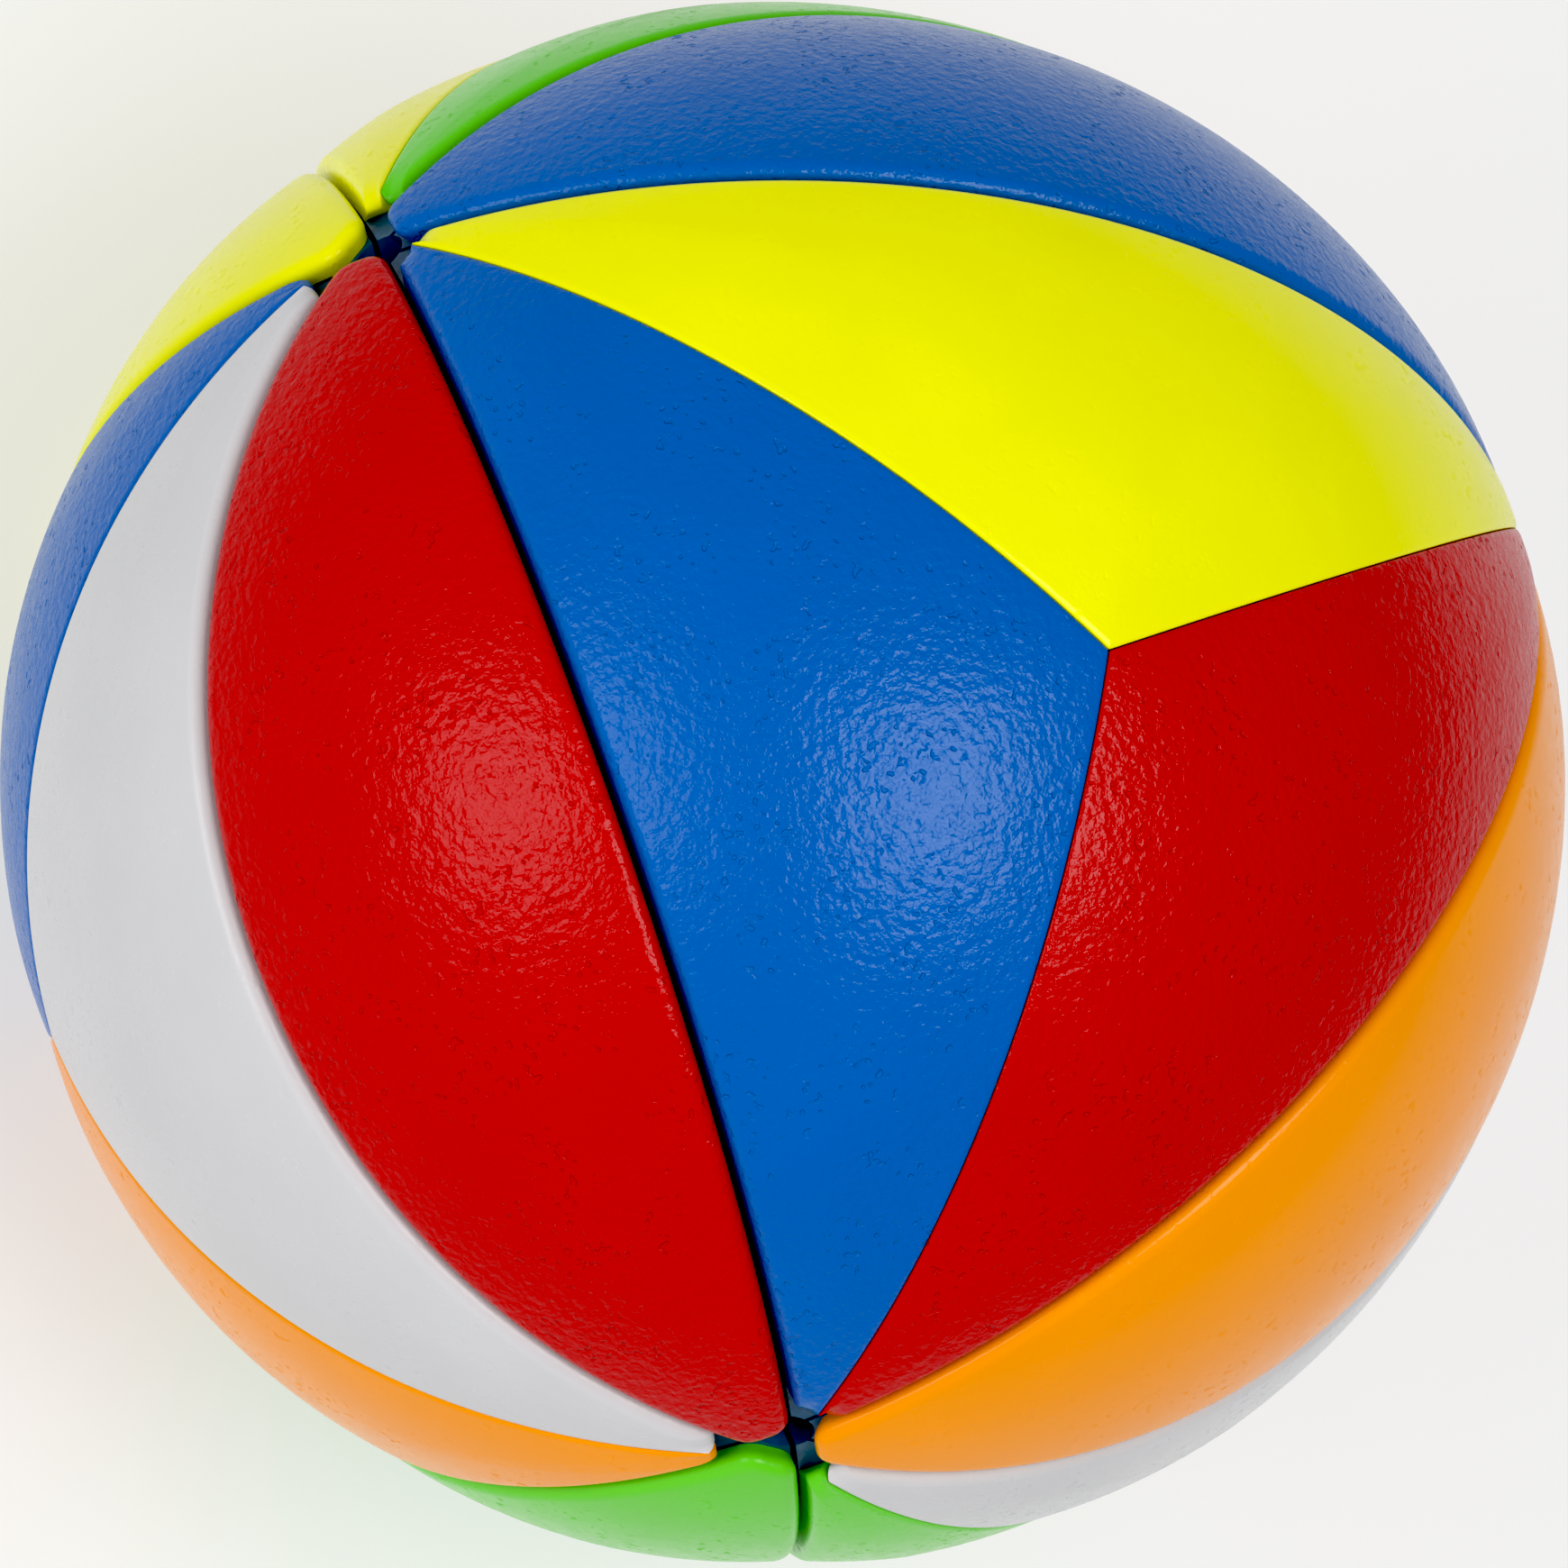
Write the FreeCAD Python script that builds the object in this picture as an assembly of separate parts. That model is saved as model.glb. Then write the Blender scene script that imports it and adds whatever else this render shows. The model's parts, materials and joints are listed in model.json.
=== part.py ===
import FreeCAD, Part
import math
import os
from itertools import combinations

"""A ball-shaped twisty puzzle with four turning axes, in millimetres.

The origin is the centre of the ball. Each axis runs from the centre through the middle of a
corner piece, and the four axes are those of a regular tetrahedron: one points up, three point
down and outwards. A layer is everything beyond a flat cut square to its axis. A corner piece lies
in one layer, and an edge piece in the two layers on either side of it. Every face where two
pieces slide is flat and square to an axis, or a sphere about the centre, so any layer can turn
all the way round.
"""

Vector = FreeCAD.Vector

# Ball
BALL_RADIUS = 35.0          # outer face of the coloured panels
PANEL_THICKNESS = 1.6
LAYER_ANGLE = 71.84         # from a layer's axis to its cut, on the ball's surface
FOOT_CUT = 2.0              # distance of the cuts between the feet from the ball's centre
RUNNING_GAP = 0.12          # from each cut face to its nominal plane
PANEL_SEAM = 0.06           # from each side of a corner panel to the seam's middle
TIP_RELIEF = 1.3            # radius of the hole where six pieces' tips meet

# Levels, as distances from the ball's centre
SHELF_RADIUS = 24.0         # the corners' undersides slide over the tops of the edge feet here
HUB_RADIUS = 17.5           # the feet slide on the hub here
LEVEL_GAP = 0.15            # from each sliding face to its level

# Walls
HUB_WALL = 2.2
FLOOR_WALL = 1.6
RIM_WALL = 1.5
RIB_THICKNESS = 1.4
RIB_END_ANGLE = 61.0        # how far a rib reaches from the corner's axis

# Screw, spring and washer on each axis
SCREW_RADIUS = 1.5
SCREW_TIP = 11.6
SCREW_HEAD_BASE = 26.6
SCREW_HEAD_RADIUS = 3.0
SCREW_HEAD_HEIGHT = 2.4
DRIVE_SLOT_WIDTH = 0.9
DRIVE_SLOT_LENGTH = 3.4
DRIVE_SLOT_DEPTH = 1.3
WASHER_RADIUS = 3.2
WASHER_THICKNESS = 0.5
SPRING_RADIUS = 2.5         # to the middle of the wire
SPRING_WIRE_RADIUS = 0.35
SPRING_TURNS = 5
SEAT_RADIUS = 20.2          # level of the washer's seat in the corner body
SEAT_BORE = 3.5             # radius of the well that holds washer, spring and screw head
SCREW_BORE = 1.75           # radius of the hole for the screw in the corner body
WELL_WALL = 1.5
INSERT_RADIUS = 2.3
INSERT_BORE = 1.55
INSERT_LENGTH = 5.4
AXIAL_PLAY = 0.05           # between parts that are stacked on the screw
BOSS_RADIUS = 3.9
BOSS_INNER_END = 9.6

# Pegs that hold the panels
PEG_RADIUS = 1.2
PEG_LENGTH = 3.2
PEG_CLEARANCE = 0.08
POST_RADIUS = 2.3
CORNER_PEG_ANGLE = 26.0     # from the corner's axis
EDGE_PEG_ANGLE = 20.0       # from the middle of the edge, along its length

# Hub joint
DOWEL_RADIUS = 0.7
DOWEL_HEIGHT = 2.0
DOWEL_CENTRE = 16.2
DOWEL_AZIMUTHS = (90, 210, 330)

ORIGIN = Vector(0, 0, 0)
UP = Vector(0, 0, 1)
LAYER_CUT = BALL_RADIUS * math.cos(math.radians(LAYER_ANGLE))
PANEL_INNER = BALL_RADIUS - PANEL_THICKNESS
BEYOND = 2.0                # how far a cutting tool reaches past what it cuts
TETRAHEDRAL_DIP = math.degrees(math.asin(1 / 3))


def direction(azimuth, elevation):
    """The unit vector at an azimuth, counted from +X towards +Y, and an elevation."""
    a = math.radians(azimuth)
    e = math.radians(elevation)
    return Vector(math.cos(e) * math.cos(a), math.cos(e) * math.sin(a), math.sin(e))


AXES = {
    "top": UP,
    "front": direction(-90, -TETRAHEDRAL_DIP),
    "right": direction(30, -TETRAHEDRAL_DIP),
    "left": direction(150, -TETRAHEDRAL_DIP),
}


def unit(vector):
    result = Vector(vector)
    result.normalize()
    return result


def toward(start, goal, angle):
    """The direction reached by turning from start towards goal by an angle."""
    sideways = unit(goal - start * start.dot(goal))
    a = math.radians(angle)
    return start * math.cos(a) + sideways * math.sin(a)


def turned(shape, rotation):
    result = shape.copy()
    result.Placement = FreeCAD.Placement(ORIGIN, rotation) * shape.Placement
    return result


def place(shape, first, second):
    """Moves a piece made for the top and front axes to another pair of axes."""
    up = AXES[first]
    back = unit(up * up.dot(AXES[second]) - AXES[second])
    return turned(shape, FreeCAD.Rotation(back.cross(up), back, up, "ZYX"))


def beyond_cut(axis, distance):
    """A block that fills the side of a flat cut that its axis points to."""
    side = 8 * BALL_RADIUS
    block = Part.makeBox(side, side, side, Vector(-side / 2, -side / 2, distance))
    return turned(block, FreeCAD.Rotation(UP, axis))


def others_than(names):
    return [name for name in AXES if name not in names]


def shell(inner, outer):
    return Part.makeSphere(outer).cut(Part.makeSphere(inner))


def region(names, inner, outer, cut, wall=0.0):
    """The part of a shell that lies in just the named layers, or the hollow inside a wall of it."""
    inside = [beyond_cut(AXES[name], cut + RUNNING_GAP + wall) for name in names]
    outside = [beyond_cut(AXES[name], cut - RUNNING_GAP - wall) for name in others_than(names)]
    block = inside[0]
    for other in inside[1:]:
        block = block.common(other)
    for other in outside:
        block = block.cut(other)
    return block.common(shell(inner, outer))


def rod(axis, radius, start, end):
    """A round bar along an axis, between two distances from the centre."""
    return Part.makeCylinder(radius, end - start, axis * start, axis)


def relieve_tips(solid, names, start):
    """Clears the holes at a piece's tips. Each hole is opposite a corner that the piece misses."""
    for other in others_than(names):
        solid = solid.cut(rod(AXES[other] * -1, TIP_RELIEF, start, BALL_RADIUS + BEYOND))
    return solid


def peg(axis):
    return rod(axis, PEG_RADIUS, PANEL_INNER - PEG_LENGTH, PANEL_INNER + PANEL_THICKNESS / 2)


def socket(axis):
    start = PANEL_INNER - PEG_LENGTH - PEG_CLEARANCE
    return rod(axis, PEG_RADIUS + PEG_CLEARANCE, start, BALL_RADIUS)


def corner_peg_axis(name, other):
    """Where the peg of the corner panel that faces another corner goes in."""
    return toward(AXES[name], AXES[other], CORNER_PEG_ANGLE)


def edge_peg_axes(pair):
    """Where the two pegs of an edge panel go in."""
    middle = unit(AXES[pair[0]] + AXES[pair[1]])
    along = AXES[pair[0]].cross(AXES[pair[1]])
    return [toward(middle, along * side, EDGE_PEG_ANGLE) for side in (1, -1)]


def rib_plate(name, far_corner):
    """The rib of a corner body under the seam that points away from another corner."""
    axis = AXES[name]
    tip = toward(axis, AXES[far_corner] * -1, RIB_END_ANGLE)
    half = unit(axis.cross(tip)) * (RIB_THICKNESS / 2)
    near = half * -1
    outline = [near, near + axis * BALL_RADIUS, near + tip * BALL_RADIUS, near]
    return Part.Face(Part.makePolygon(outline)).extrude(half * 2)


def cup(names, peg_axes, frame):
    """The hollow body under a piece's panels: a floor, a rim wall, a frame and the pegs' posts."""
    floor = SHELF_RADIUS + LEVEL_GAP
    outside = region(names, floor, PANEL_INNER, LAYER_CUT)
    hollow = region(names, floor + FLOOR_WALL, PANEL_INNER + BEYOND, LAYER_CUT, RIM_WALL)
    solid = outside.cut(hollow)
    posts = [rod(axis, POST_RADIUS, floor, BALL_RADIUS) for axis in peg_axes]
    for piece in frame + posts:
        solid = solid.fuse(piece.common(outside))
    for axis in peg_axes:
        solid = solid.cut(socket(axis))
    return relieve_tips(solid, names, floor - BEYOND)


def corner_body(name):
    """A cup under the three panels, and a foot that reaches down to the hub."""
    axis = AXES[name]
    others = others_than([name])
    well = rod(axis, SEAT_BORE + WELL_WALL, SHELF_RADIUS, BALL_RADIUS)
    ribs = [rib_plate(name, other) for other in others]
    solid = cup([name], [corner_peg_axis(name, other) for other in others], [well] + ribs)
    foot_top = SHELF_RADIUS + LEVEL_GAP + FLOOR_WALL / 2
    solid = solid.fuse(region([name], HUB_RADIUS + LEVEL_GAP, foot_top, FOOT_CUT))
    solid = solid.cut(rod(axis, SEAT_BORE, SEAT_RADIUS, BALL_RADIUS))
    return solid.cut(rod(axis, SCREW_BORE, HUB_RADIUS - BEYOND, BALL_RADIUS))


def edge_body(pair):
    """A cup under the leaf-shaped panel, and a wide foot that the corners hold down."""
    foot_top = SHELF_RADIUS - LEVEL_GAP
    foot = region(pair, HUB_RADIUS + LEVEL_GAP, foot_top, FOOT_CUT)
    neck = region(pair, foot_top - FLOOR_WALL, SHELF_RADIUS + FLOOR_WALL, LAYER_CUT)
    return cup(pair, edge_peg_axes(pair), []).fuse(neck).fuse(foot)


def corner_panel(name, other):
    """The third of a corner's outside that faces another corner."""
    axis = AXES[name]
    facing = unit(AXES[other] - axis * axis.dot(AXES[other]))
    apex = facing * (PANEL_SEAM / math.sin(math.radians(60))) - axis * BALL_RADIUS
    reach = facing * (3 * BALL_RADIUS)
    sides = [apex + FreeCAD.Rotation(axis, turn).multVec(reach) for turn in (60, -60)]
    outline = Part.makePolygon([apex, sides[0], sides[1], apex])
    wedge = Part.Face(outline).extrude(axis * (3 * BALL_RADIUS))
    third = region([name], PANEL_INNER, BALL_RADIUS, LAYER_CUT).common(wedge)
    return third.fuse(peg(corner_peg_axis(name, other)))


def edge_panel(pair):
    """The leaf-shaped outside of an edge."""
    leaf = region(pair, PANEL_INNER, BALL_RADIUS, LAYER_CUT)
    leaf = relieve_tips(leaf, pair, SHELF_RADIUS)
    for axis in edge_peg_axes(pair):
        leaf = leaf.fuse(peg(axis))
    return leaf


def hub_half(names, side):
    """One half of the hollow hub ball, with the screw bosses of the named axes."""
    outer = HUB_RADIUS - LEVEL_GAP
    half_space = beyond_cut(Vector(0, 0, side), 0)
    half_ball = Part.makeSphere(outer).common(half_space)
    solid = half_ball.cut(Part.makeSphere(outer - HUB_WALL))
    for name in names:
        boss = rod(AXES[name], BOSS_RADIUS, BOSS_INNER_END, BALL_RADIUS)
        solid = solid.fuse(boss.common(half_ball))
    for name in names:
        solid = solid.cut(rod(AXES[name], INSERT_RADIUS, outer - INSERT_LENGTH - AXIAL_PLAY, BALL_RADIUS))
        solid = solid.cut(rod(AXES[name], SCREW_BORE, BOSS_INNER_END - BEYOND, BALL_RADIUS))
    return solid


def hub_halves():
    """The hub's upper and lower halves, with three dowels on the lower one."""
    upper = hub_half(["top"], 1)
    lower = hub_half(["front", "right", "left"], -1)
    for azimuth in DOWEL_AZIMUTHS:
        spot = direction(azimuth, 0) * DOWEL_CENTRE
        start = spot - Vector(0, 0, DOWEL_HEIGHT)
        lower = lower.fuse(Part.makeCylinder(DOWEL_RADIUS, 2 * DOWEL_HEIGHT, start))
        hole_depth = DOWEL_HEIGHT + AXIAL_PLAY
        upper = upper.cut(Part.makeCylinder(DOWEL_RADIUS + PEG_CLEARANCE, hole_depth, spot))
    return upper, lower


def ring(outer_radius, inner_radius, start, end):
    """A round collar about the top axis."""
    return rod(UP, outer_radius, start, end).cut(rod(UP, inner_radius, start - 1, end + 1))


def threaded_insert():
    mouth = HUB_RADIUS - LEVEL_GAP
    start = mouth - INSERT_LENGTH
    return ring(INSERT_RADIUS - AXIAL_PLAY, INSERT_BORE, start, mouth - AXIAL_PLAY)


def washer():
    start = SEAT_RADIUS + AXIAL_PLAY
    return ring(WASHER_RADIUS, SCREW_BORE, start, start + WASHER_THICKNESS)


def screw():
    """A flat-topped machine screw with a crossed drive recess."""
    head_top = SCREW_HEAD_BASE + SCREW_HEAD_HEIGHT
    solid = rod(UP, SCREW_RADIUS, SCREW_TIP, SCREW_HEAD_BASE)
    solid = solid.fuse(rod(UP, SCREW_HEAD_RADIUS, SCREW_HEAD_BASE, head_top))
    slot_base = head_top - DRIVE_SLOT_DEPTH
    arms = ((DRIVE_SLOT_LENGTH, DRIVE_SLOT_WIDTH), (DRIVE_SLOT_WIDTH, DRIVE_SLOT_LENGTH))
    for length, width in arms:
        corner = Vector(-length / 2, -width / 2, slot_base)
        solid = solid.cut(Part.makeBox(length, width, SCREW_HEAD_HEIGHT, corner))
    return solid


def spring():
    """An open coil spring between the washer and the screw's head."""
    clearance = SPRING_WIRE_RADIUS + AXIAL_PLAY
    start = SEAT_RADIUS + AXIAL_PLAY + WASHER_THICKNESS + clearance
    height = SCREW_HEAD_BASE - clearance - start
    helix = Part.Wire(Part.makeHelix(height / SPRING_TURNS, height, SPRING_RADIUS))
    circle = Part.makeCircle(SPRING_WIRE_RADIUS, Vector(SPRING_RADIUS, 0, 0), Vector(0, 1, 0))
    coil = helix.makePipeShell([Part.Wire(circle)], True, False)
    coil.translate(UP * start)
    return coil


def save(shape, name):
    solids = shape.removeSplitter().Solids
    print(f"{name}: {len(solids)} solid, {shape.Volume:.1f} mm3, valid {shape.isValid()}")
    solids[0].exportStep(f"parts/{name}.step")


def save_corners():
    """The four corners, each with its screw, spring, washer and insert."""
    body = corner_body("top")
    panel = corner_panel("top", "front")
    stack = {"insert": threaded_insert(), "washer": washer(), "screw": screw(), "spring": spring()}
    for name in AXES:
        others = others_than([name])
        save(place(body, name, others[0]), f"corner_{name}_body")
        for other in others:
            save(place(panel, name, other), f"corner_{name}_panel_{other}")
        for kind, piece in stack.items():
            save(place(piece, name, others[0]), f"{kind}_{name}")


def save_edges():
    body = edge_body(("top", "front"))
    panel = edge_panel(("top", "front"))
    for first, second in combinations(AXES, 2):
        save(place(body, first, second), f"edge_{first}_{second}_body")
        save(place(panel, first, second), f"edge_{first}_{second}_panel")


os.makedirs("parts", exist_ok=True)
upper_half, lower_half = hub_halves()
save(upper_half, "hub_upper_half")
save(lower_half, "hub_lower_half")
save_corners()
save_edges()
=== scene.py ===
import bpy
import json
import math
import numpy as np
from collections import namedtuple
from mathutils import Matrix, Vector

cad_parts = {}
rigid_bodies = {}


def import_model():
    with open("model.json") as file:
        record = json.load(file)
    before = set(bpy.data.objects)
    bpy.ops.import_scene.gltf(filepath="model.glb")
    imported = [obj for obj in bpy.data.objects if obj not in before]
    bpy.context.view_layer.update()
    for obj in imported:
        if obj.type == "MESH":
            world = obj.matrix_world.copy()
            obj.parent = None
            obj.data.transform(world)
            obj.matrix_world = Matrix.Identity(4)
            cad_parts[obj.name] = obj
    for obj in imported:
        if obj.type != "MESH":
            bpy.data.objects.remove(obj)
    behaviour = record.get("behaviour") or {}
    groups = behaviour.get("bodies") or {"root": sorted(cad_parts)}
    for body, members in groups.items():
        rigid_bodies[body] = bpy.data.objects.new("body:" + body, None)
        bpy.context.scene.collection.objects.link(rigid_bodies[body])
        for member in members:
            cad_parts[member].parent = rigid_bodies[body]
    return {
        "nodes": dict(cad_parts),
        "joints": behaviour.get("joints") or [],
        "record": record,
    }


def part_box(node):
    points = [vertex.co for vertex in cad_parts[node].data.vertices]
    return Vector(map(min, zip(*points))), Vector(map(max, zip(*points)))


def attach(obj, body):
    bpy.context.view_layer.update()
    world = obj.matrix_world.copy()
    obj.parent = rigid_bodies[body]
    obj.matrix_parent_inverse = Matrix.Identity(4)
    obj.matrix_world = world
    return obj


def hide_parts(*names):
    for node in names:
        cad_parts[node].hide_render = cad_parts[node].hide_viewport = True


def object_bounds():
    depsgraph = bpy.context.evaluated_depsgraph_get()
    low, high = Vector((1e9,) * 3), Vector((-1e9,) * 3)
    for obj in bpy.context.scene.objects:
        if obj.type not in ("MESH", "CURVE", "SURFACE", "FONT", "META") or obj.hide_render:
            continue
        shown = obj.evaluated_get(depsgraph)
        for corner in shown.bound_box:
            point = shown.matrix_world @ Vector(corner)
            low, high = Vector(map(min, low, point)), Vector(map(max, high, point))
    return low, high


"""The looks of a ball-shaped twisty puzzle with four turning axes.

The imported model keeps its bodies, hub, screws, springs, washers and inserts, with better
materials. Its 18 coloured panels are made again here as crowned shells with rounded edges. Along
the cuts between layers they end where the model's panels end, so a layer turns without touching.
Lengths are in metres, in the frame of the model: the ball's centre is the origin.
"""

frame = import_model()
cad_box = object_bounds()

MM = 0.001

# The cuts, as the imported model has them
AXES = {
    joint["child"].removeprefix("corner_"): Vector(joint["axis"]).normalized()
    for joint in frame["joints"]
    if joint["parent"] == "core"
}
BALL_RADIUS = (cad_box[1] - cad_box[0]).x / 2
EDGE_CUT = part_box("edge_top_front_panel")[0].z      # from the ball's centre to an edge's cut faces
CORNER_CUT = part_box("corner_front_panel_top")[1].z  # from the ball's centre to a corner's cut faces
PANEL_THICKNESS = 1.6 * MM
SEAM_CUT = 0.03 * MM            # from each corner panel to the middle of the seam between two

# How a panel's outside is rounded
SHRINK = 0.05 * MM              # from the ball's surface to the highest point of a panel
CROWN = 0.30 * MM               # how much lower a panel is where its rounded edge starts
ROUND_DROP = 0.75 * MM          # height of the rounded edge along a cut between two layers
SEAM_DROP = 0.14 * MM           # the same along a seam between two panels of one corner
EDGE_ROUND = 1.0 * MM           # width of the rounded edge along an edge panel's long sides
END_ROUND = 0.9 * MM            # the same at its two blunt ends
CORNER_ROUND = 0.60 * MM        # the same for a corner panel, beside a cut
SEAM_ROUND = 0.42 * MM          # the same beside a seam
EDGE_TIP = 1.12 * MM            # radius of an edge panel's outline at its corners
CORNER_TIP = 0.21 * MM          # the same for a corner panel
TIP_SHARPENING = 0.3            # how much of that radius is lost across the rounded edge
EDGE_SETBACK = 0.93 * MM        # from an edge's blunt end to the middle of the hole beyond it
CORNER_SETBACK = 2.05 * MM      # the same for the narrow tips of a corner's panels
SETBACK_SLANT = 0.37            # how much further back the ends are for each unit of depth
WEDGE_ANGLE = 30.0              # degrees, about, between a seam and the cut that it runs into
SHARP_ANGLE = 50.0              # degrees between two faces from which their edge is sharp
CORNER_CENTRE = 20.2            # degrees from a corner's axis to the crown of its panel

# Divisions of a panel's mesh: along its sides and round its corners, then from bottom to top
LONG_STEPS = 84
SEAM_STEPS = 64
END_STEPS = 5
ARC_STEPS = 8
WALL_RINGS = 3
ROUND_RINGS = 8
CROWN_RINGS = 18
UNDERSIDE_RINGS = 8

# Height of the orange-peel skin on the panels
DEEP_PEEL = 0.080 * MM
FAINT_PEEL = 0.012 * MM

# Pegs under the panels
PEG_RADIUS = 1.2 * MM
PEG_LENGTH = 3.2 * MM
PEG_CHAMFER = 0.3 * MM
PEG_ROOT = PANEL_THICKNESS / 3  # how far a peg reaches into its panel
PEG_STEPS = 24
CORNER_PEG_ANGLE = 26.0         # degrees from the corner's axis
EDGE_PEG_ANGLE = 20.0           # degrees from the middle of the edge, along its length
NO_PEG_AXIS = (0.3, 0.5, 0.8)   # a direction in which no peg stands

# The photographer's place: angles in degrees, lens and sensor in millimetres
VIEW_AZIMUTH = 3.57
VIEW_ELEVATION = 63.9
VIEW_ROLL = -67.63
VIEW_DISTANCE = 1.0035
VIEW_LENS = 516.9
VIEW_SENSOR = 36.0
VIEW_NEAREST = 0.05
VIEW_FARTHEST = 20.0

# The studio
LIGHTS = {                      # degrees sideways and upward from the camera, and watts
    "left_light": (-36.0, -1.0, 2.1),
    "right_light": (24.0, -2.0, 3.6),
}
LIGHT_SIZE = 0.42
LIGHT_DISTANCE = 0.8
FLOOR_SIZE = 6.0
FLOOR_GLOW = 0.54
ROOM_LEVEL = 0.5                # strength of the room's light at the level of the floor
ROOM_OVERHEAD = 0.3             # the same from overhead
ROOM_FADE_END = 0.9             # height at which the first has become the second, on a unit sphere
BLACK_LEVEL = 0.03

# A flat cut that bounds a panel. The normal points into the panel.
Side = namedtuple("Side", "normal distance rounding drop steps")


def unit(vector):
    return vector / np.linalg.norm(vector)


def axis_of(name):
    return np.array(AXES[name])


def others_than(*names):
    return [name for name in AXES if name not in names]


def toward(start, goal, degrees):
    """The direction reached by turning from start towards goal by an angle."""
    sideways = unit(goal - start * np.dot(start, goal))
    a = math.radians(degrees)
    return start * math.cos(a) + sideways * math.sin(a)


def in_order(sides, centre):
    """The sides in the order that goes counter-clockwise round the panel, seen from outside."""
    east = unit(np.cross(sides[0].normal, centre))
    north = np.cross(centre, east)
    return sorted(sides, key=lambda s: math.atan2(s.normal @ north, s.normal @ east))


def crossing(first, second, radius, offsets):
    """The direction of the point that lies inside two sides by two arc lengths."""
    heights = [
        math.sin(math.asin(side.distance / radius) + offset / radius)
        for side, offset in zip((first, second), offsets)
    ]
    shared = first.normal @ second.normal
    a, b = np.linalg.solve([[1, shared], [shared, 1]], heights)
    across = np.cross(first.normal, second.normal)
    flat = a * first.normal + b * second.normal
    return flat + across * math.sqrt((1 - flat @ flat) / (across @ across))


def rounded_tip(first, second, radius, share, tip):
    """The arc that joins two sides, at a share of the width of their rounded edges."""
    tip = tip * (1 - TIP_SHARPENING * share)
    offsets = [side.rounding * share + tip for side in (first, second)]
    middle = unit(crossing(first, second, radius, offsets))
    start, end = [unit((side.normal @ middle) * middle - side.normal) for side in (first, second)]
    turn = np.cross(middle, start)
    angles = np.linspace(0, math.atan2(end @ turn, end @ start), ARC_STEPS + 1)[:, None]
    outward = start * np.cos(angles) + turn * np.sin(angles)
    return middle * math.cos(tip / radius) + outward * math.sin(tip / radius)


def along_side(side, start, end):
    """The points between two points of a side, round the side's normal."""
    height = side.normal @ start
    east = unit(start - side.normal * height)
    north = np.cross(side.normal, east)
    angle = math.atan2(end @ north, end @ east) % (2 * math.pi)
    angles = np.linspace(0, angle, side.steps + 1)[1:-1, None]
    spread = math.sqrt(1 - height * height)
    return side.normal * height + (east * np.cos(angles) + north * np.sin(angles)) * spread


def outline(sides, tip, radius, share):
    """The directions round a panel at one level, at a share of its rounded edge's width."""
    tips = [
        rounded_tip(sides[i - 1], side, radius, share, tip)
        for i, side in enumerate(sides)
    ]
    points = []
    for i, side in enumerate(sides):
        following = tips[(i + 1) % len(sides)]
        points += [tips[i], along_side(side, tips[i][-1], following[0])]
    return np.vstack(points)


def drops(sides):
    """The height of the rounded edge at each point of an outline."""
    heights = []
    for i, side in enumerate(sides):
        heights += [np.linspace(sides[i - 1].drop, side.drop, ARC_STEPS + 1)]
        heights += [np.full(side.steps - 1, side.drop)]
    return np.concatenate(heights)[:, None]


def toward_centre(directions, centre, share):
    """Moves an outline's directions towards the panel's centre by a share of the way."""
    moved = directions * (1 - share) + centre * share
    return moved / np.linalg.norm(moved, axis=1)[:, None]


def panel_rings(sides, centre, tip):
    """The closed rings of a panel, from the middle of its underside to the middle of its top."""
    inner = BALL_RADIUS - PANEL_THICKNESS
    top = BALL_RADIUS - SHRINK
    brow = top - CROWN
    drop = drops(sides)
    foot = brow - drop
    base = outline(sides, tip, inner, 0)
    rings = []
    for i in range(1, UNDERSIDE_RINGS):
        rings.append(toward_centre(base, centre, 1 - i / UNDERSIDE_RINGS) * inner)
    for i in range(WALL_RINGS):
        radii = inner + (foot - inner) * i / WALL_RINGS
        rings.append(outline(sides, tip, radii.mean(), 0) * radii)
    for i in range(ROUND_RINGS + 1):
        a = math.pi / 2 * i / ROUND_RINGS
        radii = foot + drop * math.sin(a)
        rings.append(outline(sides, tip, radii.mean(), 1 - math.cos(a)) * radii)
    rim = rings[-1] / brow
    for i in range(1, CROWN_RINGS):
        share = i / CROWN_RINGS
        radius = brow + CROWN * (1 - (1 - share) ** 2)
        rings.append(toward_centre(rim, centre, share) * radius)
    return centre * inner, rings, centre * top


def close_rings(bottom, rings, top):
    """The vertices and faces of a closed skin over rings of equally many points."""
    count = len(rings[0])
    vertices = [bottom, *np.vstack(rings), top]
    last = len(vertices) - 1
    faces = []
    for j in range(count):
        k = (j + 1) % count
        faces.append((0, 1 + k, 1 + j))
        for i in range(len(rings) - 1):
            low, high = 1 + i * count, 1 + (i + 1) * count
            faces.append((low + j, low + k, high + k, high + j))
        faces.append((last - count + j, last - count + k, last))
    return vertices, faces


def peg(axis):
    """A round peg with a chamfered end that stands inwards from a panel's underside."""
    inner = BALL_RADIUS - PANEL_THICKNESS
    end = inner - PEG_LENGTH
    east = unit(np.cross(axis, NO_PEG_AXIS))
    north = np.cross(axis, east)
    angles = np.linspace(0, 2 * math.pi, PEG_STEPS, endpoint=False)[:, None]
    circle = east * np.cos(angles) + north * np.sin(angles)
    levels = (
        (end, PEG_RADIUS - PEG_CHAMFER),
        (end + PEG_CHAMFER, PEG_RADIUS),
        (inner + PEG_ROOT, PEG_RADIUS),
    )
    rings = [axis * level + circle * radius for level, radius in levels]
    return close_rings(axis * levels[0][0], rings, axis * levels[-1][0])


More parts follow.
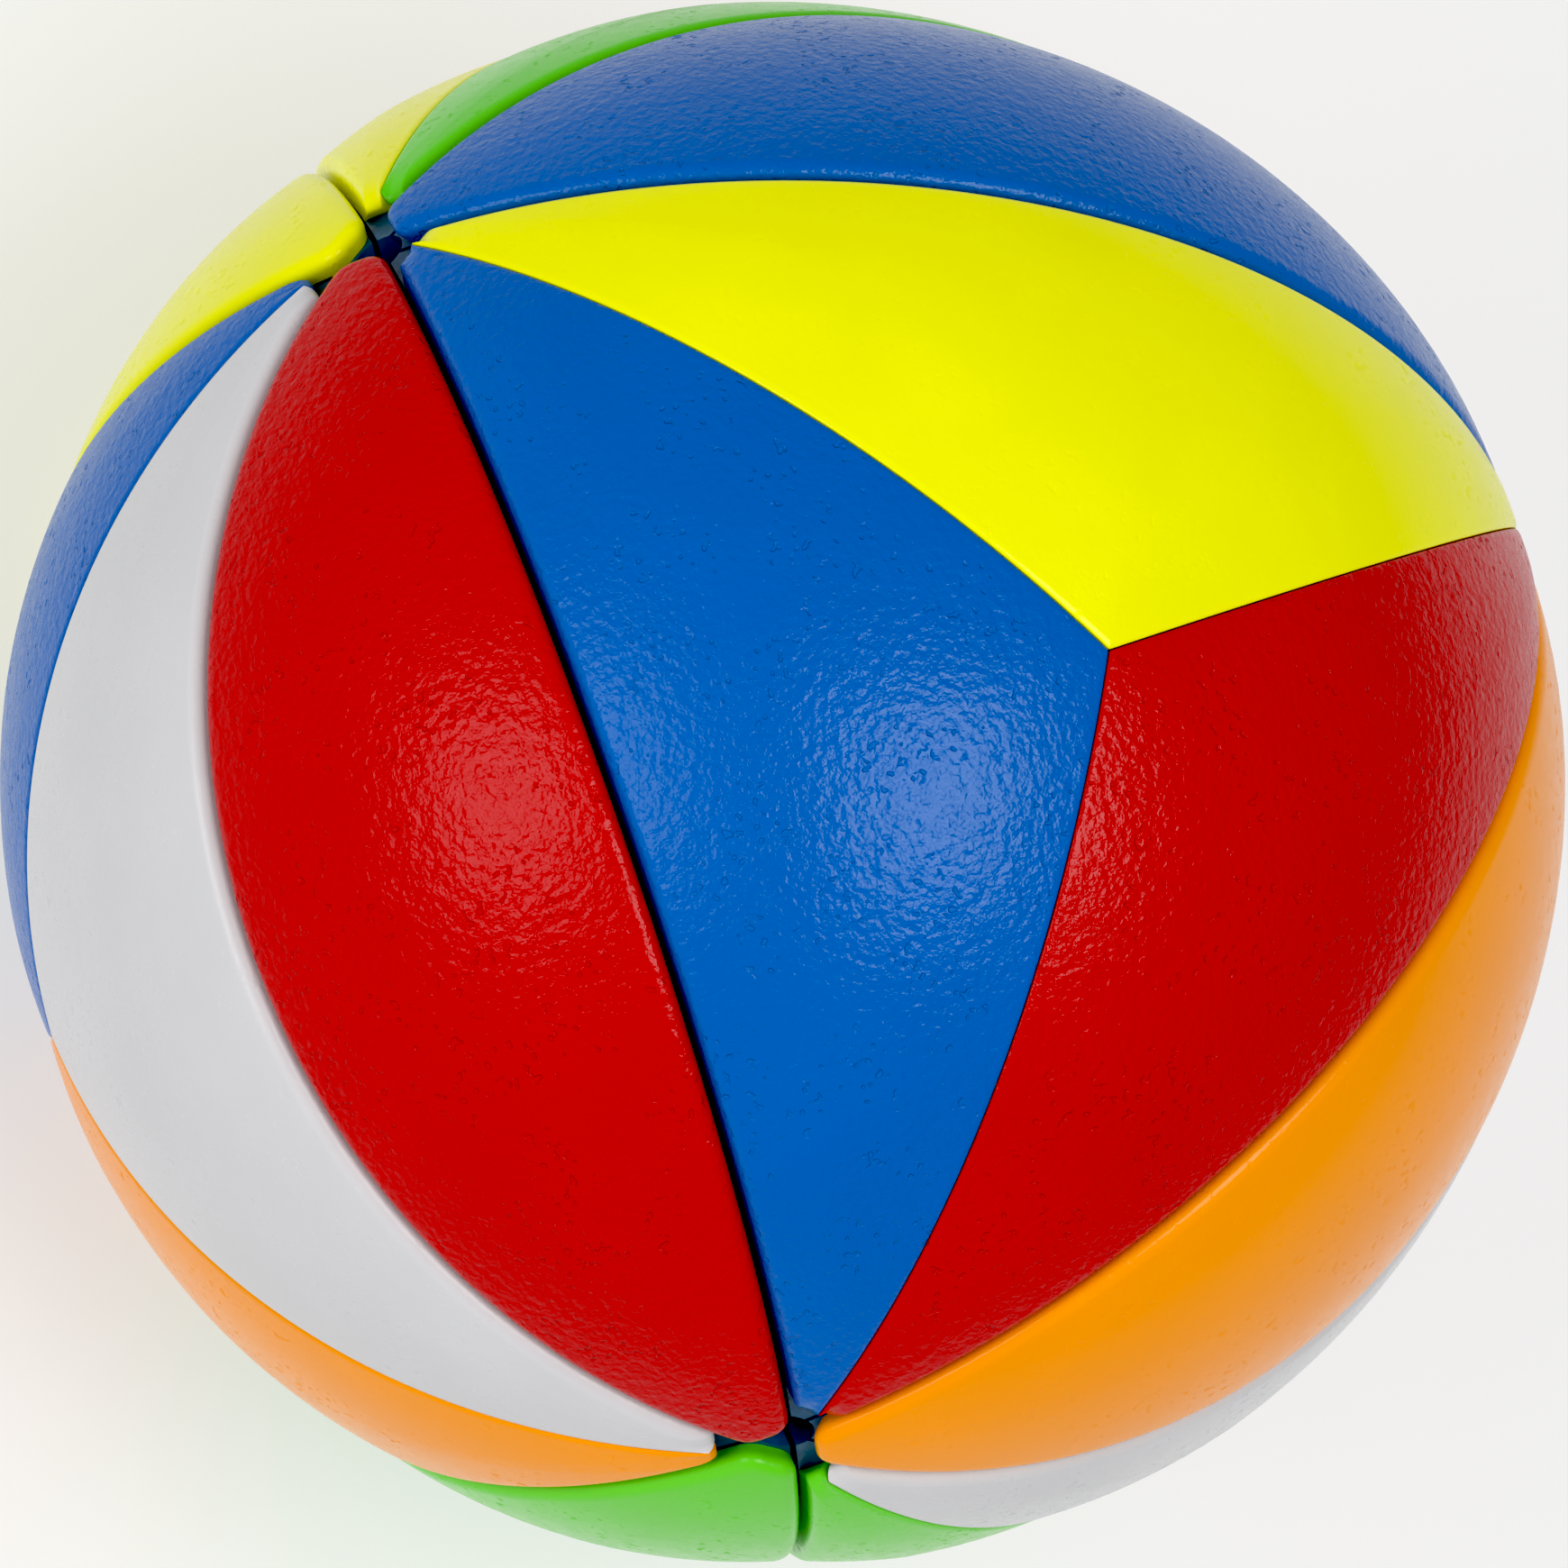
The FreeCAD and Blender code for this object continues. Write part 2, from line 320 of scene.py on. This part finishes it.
def mesh_object(name, skins):
    """One smooth object from several closed skins, with its hard corners kept sharp."""
    vertices, faces = [], []
    for skin_vertices, skin_faces in skins:
        start = len(vertices)
        vertices += skin_vertices
        faces += [tuple(start + v for v in face) for face in skin_faces]
    mesh = bpy.data.meshes.new(name)
    mesh.from_pydata([tuple(v) for v in vertices], [], faces)
    mesh.shade_smooth()
    mesh.set_sharp_from_angle(angle=math.radians(SHARP_ANGLE))
    mesh.update()
    made = bpy.data.objects.new(name, mesh)
    bpy.context.scene.collection.objects.link(made)
    return made


def end_side(hole, panel, setback, rounding):
    """A short side that holds a panel back from the middle of a hole. The hole widens inwards."""
    back = unit(panel - hole * (panel @ hole))
    normal = unit(back + hole * SETBACK_SLANT)
    distance = normal @ (hole * BALL_RADIUS + back * setback)
    return Side(normal, distance, rounding, ROUND_DROP, END_STEPS)


def corner_panel(name, facing):
    """A third of a corner: it lies outside the layer that it faces, between two seams."""
    axis, other = axis_of(name), axis_of(facing)
    wedge = math.radians(WEDGE_ANGLE)
    tip_round = (CORNER_ROUND + SEAM_ROUND * math.cos(wedge)) / math.sin(wedge)
    sides = [Side(-other, -CORNER_CUT, CORNER_ROUND, ROUND_DROP, LONG_STEPS)]
    for third in others_than(name, facing):
        seam = unit(np.cross(axis, axis_of(third)))
        inward = seam * np.sign(seam @ other)
        sides.append(Side(inward, SEAM_CUT, SEAM_ROUND, SEAM_DROP, SEAM_STEPS))
        sides.append(end_side(-axis_of(third), axis, CORNER_SETBACK, tip_round))
    centre = toward(axis, other, CORNER_CENTRE)
    skin = close_rings(*panel_rings(in_order(sides, centre), centre, CORNER_TIP))
    return [skin, peg(toward(axis, other, CORNER_PEG_ANGLE))]


def edge_panel(first, second):
    """A leaf: it lies inside two layers and outside the other two."""
    centre = unit(axis_of(first) + axis_of(second))
    sides = [
        Side(axis_of(name), EDGE_CUT, EDGE_ROUND, ROUND_DROP, LONG_STEPS)
        for name in (first, second)
    ]
    for name in others_than(first, second):
        sides.append(end_side(-axis_of(name), centre, EDGE_SETBACK, END_ROUND))
    skin = close_rings(*panel_rings(in_order(sides, centre), centre, EDGE_TIP))
    along = np.cross(axis_of(first), axis_of(second))
    return [skin, *[peg(toward(centre, along * way, EDGE_PEG_ANGLE)) for way in (1, -1)]]


# The sockets of a mix node that hold colours: its two inputs, and its result
MIX_COLOURS = slice(6, 8)
MIX_RESULT = 2


class Nodes:
    """A short way to build a material's node tree. Texture scales are in features per metre."""

    def __init__(self, name):
        self.material = bpy.data.materials.new(name)
        self.material.use_nodes = True
        self.tree = self.material.node_tree
        self.shader = self.tree.nodes["Principled BSDF"]
        self.place = self.add("ShaderNodeTexCoord").outputs["Object"]

    def add(self, kind, **settings):
        node = self.tree.nodes.new(kind)
        for key, value in settings.items():
            setattr(node, key, value)
        return node

    def link(self, source, socket):
        self.tree.links.new(source, socket)

    def noise(self, scale, detail=2.0, roughness=0.5):
        node = self.add("ShaderNodeTexNoise")
        node.inputs["Scale"].default_value = scale
        node.inputs["Detail"].default_value = detail
        node.inputs["Roughness"].default_value = roughness
        self.link(self.place, node.inputs["Vector"])
        return node.outputs["Fac"]

    def cells(self, scale):
        """The distance from the nearest of many scattered points."""
        node = self.add("ShaderNodeTexVoronoi", feature="F1")
        node.inputs["Scale"].default_value = scale
        self.link(self.place, node.inputs["Vector"])
        return node.outputs["Distance"]

    def ramp(self, source, low, high, low_value=0.0, high_value=1.0):
        """Maps low..high to two values, and stays level outside them."""
        node = self.add("ShaderNodeMapRange", interpolation_type="SMOOTHSTEP")
        node.inputs["From Min"].default_value = low
        node.inputs["From Max"].default_value = high
        node.inputs["To Min"].default_value = low_value
        node.inputs["To Max"].default_value = high_value
        self.link(source, node.inputs["Value"])
        return node.outputs["Result"]

    def math(self, operation, first, second):
        node = self.add("ShaderNodeMath", operation=operation)
        for socket, value in zip(node.inputs, (first, second)):
            if isinstance(value, (int, float)):
                socket.default_value = value
            else:
                self.link(value, socket)
        return node.outputs["Value"]

    def mix(self, share, first, second):
        """A colour between two, each a colour or another node's output."""
        node = self.add("ShaderNodeMix", data_type="RGBA")
        self.link(share, node.inputs["Factor"])
        for socket, value in zip(node.inputs[MIX_COLOURS], (first, second)):
            if isinstance(value, tuple):
                socket.default_value = (*value, 1.0)
            else:
                self.link(value, socket)
        return node.outputs[MIX_RESULT]

    def bump(self, height, distance):
        node = self.add("ShaderNodeBump")
        node.inputs["Distance"].default_value = distance
        self.link(height, node.inputs["Height"])
        self.link(node.outputs["Normal"], self.shader.inputs["Normal"])

    def set(self, name, value):
        self.shader.inputs[name].default_value = value


def tinted(colour, factor):
    return tuple(min(1.0, channel * factor) for channel in colour)


def panel_plastic(slot, colour, relief):
    """Satin moulded plastic: an orange-peel skin, shallow pits and a little dust."""
    m = Nodes(slot)
    mottle = m.ramp(m.noise(150.0, 3.0), 0.3, 0.7)
    base = m.mix(mottle, tinted(colour, 0.985), tinted(colour, 1.015))
    hollows = m.ramp(m.noise(2300.0, 1.0), 0.62, 0.72)
    patches = m.ramp(m.noise(300.0, 2.0), 0.46, 0.58)
    pits = m.math("MULTIPLY", hollows, patches)
    speck_centre = m.ramp(m.cells(230.0), 0.035, 0.06, 1.0, 0.0)
    few = m.ramp(m.noise(310.0, 0.0), 0.70, 0.72)
    specks = m.math("MULTIPLY", speck_centre, few)
    dusty = tuple(0.55 * channel + 0.35 for channel in colour)
    base = m.mix(m.math("MULTIPLY", specks, 0.7), base, dusty)
    m.link(base, m.shader.inputs["Base Color"])
    gloss = m.noise(1300.0, 2.0)
    satin = m.ramp(gloss, 0.3, 0.7, 0.20, 0.26)
    rough = m.math("ADD", satin, m.math("MULTIPLY", pits, 0.3))
    m.link(rough, m.shader.inputs["Roughness"])
    peel = m.noise(2500.0, 2.0, 0.5)
    waves = m.math("MULTIPLY", m.noise(1200.0, 1.0), 0.5)
    skin = m.math("ADD", peel, waves)
    skin = m.math("SUBTRACT", skin, m.math("MULTIPLY", pits, 0.8))
    m.bump(skin, relief)
    m.set("Specular IOR Level", 0.25)
    return m.material


def body_plastic(slot, colour):
    """Dark moulded plastic, a little rougher than the panels, with faint flow marks."""
    m = Nodes(slot)
    flow = m.ramp(m.noise(140.0, 4.0, 0.6), 0.3, 0.7)
    m.link(m.mix(flow, tinted(colour, 0.8), tinted(colour, 1.35)), m.shader.inputs["Base Color"])
    grain = m.noise(2600.0, 3.0)
    m.link(m.ramp(grain, 0.3, 0.7, 0.34, 0.5), m.shader.inputs["Roughness"])
    m.bump(m.math("ADD", grain, m.noise(700.0, 1.0)), 0.03 * MM)
    m.set("IOR", 1.5)
    return m.material


def metal(slot, colour, roughness):
    """Plated or turned metal, with fine tool marks and duller patches."""
    m = Nodes(slot)
    patches = m.ramp(m.noise(420.0, 4.0, 0.65), 0.35, 0.7)
    m.link(m.mix(patches, tinted(colour, 0.78), tinted(colour, 1.08)), m.shader.inputs["Base Color"])
    m.link(m.ramp(patches, 0.0, 1.0, roughness + 0.14, roughness), m.shader.inputs["Roughness"])
    m.bump(m.noise(4200.0, 3.0, 0.7), 0.015 * MM)
    m.set("Metallic", 1.0)
    return m.material


def floor_paint():
    """Pale matt paint with a faint unevenness."""
    m = Nodes("pale_floor")
    tone = m.noise(9.0, 3.0)
    m.link(m.mix(tone, (0.38, 0.38, 0.38), (0.40, 0.40, 0.40)), m.shader.inputs["Base Color"])
    m.set("Roughness", 0.7)
    m.set("Specular IOR Level", 0.2)
    m.set("Emission Color", (1.0, 1.0, 1.0, 1.0))
    m.set("Emission Strength", FLOOR_GLOW)
    return m.material


MATERIALS = {
    "red_plastic": panel_plastic("red_plastic", (0.52, 0.0, 0.0), DEEP_PEEL),
    "blue_plastic": panel_plastic("blue_plastic", (0.0, 0.118, 0.46), DEEP_PEEL),
    "yellow_plastic": panel_plastic("yellow_plastic", (0.87, 0.88, 0.0), FAINT_PEEL),
    "white_plastic": panel_plastic("white_plastic", (0.62, 0.62, 0.635), FAINT_PEEL),
    "orange_plastic": panel_plastic("orange_plastic", (0.93, 0.31, 0.0), FAINT_PEEL),
    "green_plastic": panel_plastic("green_plastic", (0.13, 0.63, 0.03), FAINT_PEEL),
    "dark_plastic": body_plastic("dark_plastic", (0.004, 0.075, 0.170)),
    "core_plastic": body_plastic("core_plastic", (0.003, 0.055, 0.130)),
    "steel": metal("steel", (0.58, 0.59, 0.60), 0.24),
    "brass": metal("brass", (0.70, 0.49, 0.20), 0.28),
}

SLOTS = {part["node"]: part["material_slot"] for part in frame["record"]["subparts"]}
BODIES = {
    node: body
    for body, nodes in frame["record"]["behaviour"]["bodies"].items()
    for node in nodes
}


def add_panel(node, skins):
    """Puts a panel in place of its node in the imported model."""
    panel = mesh_object(node + "_shell", skins)
    panel.data.materials.append(MATERIALS[SLOTS[node]])
    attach(panel, BODIES[node])
    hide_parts(node)


for node, slot in SLOTS.items():
    words = node.split("_")
    if words[0] == "corner" and "panel" in words:
        add_panel(node, corner_panel(words[1], words[3]))
    elif words[0] == "edge" and "panel" in words:
        add_panel(node, edge_panel(words[1], words[2]))
    else:
        part = frame["nodes"][node]
        part.data.materials.clear()
        part.data.materials.append(MATERIALS[slot])


def add_camera():
    """Aims the camera at the ball, and returns its axes: right, up and back."""
    a, e = math.radians(VIEW_AZIMUTH), math.radians(VIEW_ELEVATION)
    back = Vector((math.sin(a) * math.cos(e), -math.cos(a) * math.cos(e), math.sin(e)))
    level = Vector((0, 0, 1)).cross(back).normalized()
    roll = math.radians(VIEW_ROLL)
    up = back.cross(level) * math.cos(roll) + level * math.sin(roll)
    axes = Matrix((up.cross(back), up, back)).transposed()
    camera = bpy.data.objects.new("camera", bpy.data.cameras.new("camera"))
    camera.data.lens = VIEW_LENS
    camera.data.sensor_width = VIEW_SENSOR
    camera.data.clip_start = VIEW_NEAREST
    camera.data.clip_end = VIEW_FARTHEST
    camera.matrix_world = Matrix.Translation(back * VIEW_DISTANCE) @ axes.to_4x4()
    bpy.context.scene.collection.objects.link(camera)
    bpy.context.scene.camera = camera
    return axes


def add_light(name, axes, sideways, upward, power):
    """A square soft light that faces the ball, placed by two angles from the camera."""
    s, u = math.radians(sideways), math.radians(upward)
    direction = axes @ Vector((math.sin(s) * math.cos(u), math.sin(u), math.cos(s) * math.cos(u)))
    light = bpy.data.objects.new(name, bpy.data.lights.new(name, "AREA"))
    light.data.size = LIGHT_SIZE
    light.data.energy = power
    light.location = direction * LIGHT_DISTANCE
    light.rotation_euler = direction.to_track_quat("Z", "Y").to_euler()
    light.visible_camera = False
    bpy.context.scene.collection.objects.link(light)


def add_floor():
    """A wide level floor that the ball rests on."""
    half = FLOOR_SIZE / 2
    corners = [(-half, -half), (half, -half), (half, half), (-half, half)]
    mesh = bpy.data.meshes.new("floor")
    mesh.from_pydata([(x, y, cad_box[0].z) for x, y in corners], [], [(0, 1, 2, 3)])
    mesh.materials.append(floor_paint())
    floor = bpy.data.objects.new("floor", mesh)
    bpy.context.scene.collection.objects.link(floor)


def show_saturated():
    """Plain colours with firm blacks, as a product picture has."""
    settings = bpy.context.scene.view_settings
    settings.view_transform = "Standard"
    settings.use_curve_mapping = True
    settings.curve_mapping.black_level = (BLACK_LEVEL,) * 3
    settings.curve_mapping.update()


def add_room_light():
    """Soft light from all round: brighter near the level of the floor than overhead."""
    world = bpy.data.worlds.new("room")
    world.use_nodes = True
    nodes, links = world.node_tree.nodes, world.node_tree.links
    place = nodes.new("ShaderNodeTexCoord")
    split = nodes.new("ShaderNodeSeparateXYZ")
    height = nodes.new("ShaderNodeMapRange")
    height.inputs["From Min"].default_value = 0.0
    height.inputs["From Max"].default_value = ROOM_FADE_END
    height.inputs["To Min"].default_value = ROOM_LEVEL
    height.inputs["To Max"].default_value = ROOM_OVERHEAD
    links.new(place.outputs["Generated"], split.inputs["Vector"])
    links.new(split.outputs["Z"], height.inputs["Value"])
    links.new(height.outputs["Result"], nodes["Background"].inputs["Strength"])
    nodes["Background"].inputs["Color"].default_value = (1.0, 1.0, 1.0, 1.0)
    bpy.context.scene.world = world


camera_axes = add_camera()
for name, (sideways, upward, power) in LIGHTS.items():
    add_light(name, camera_axes, sideways, upward, power)
add_floor()
add_room_light()
show_saturated()
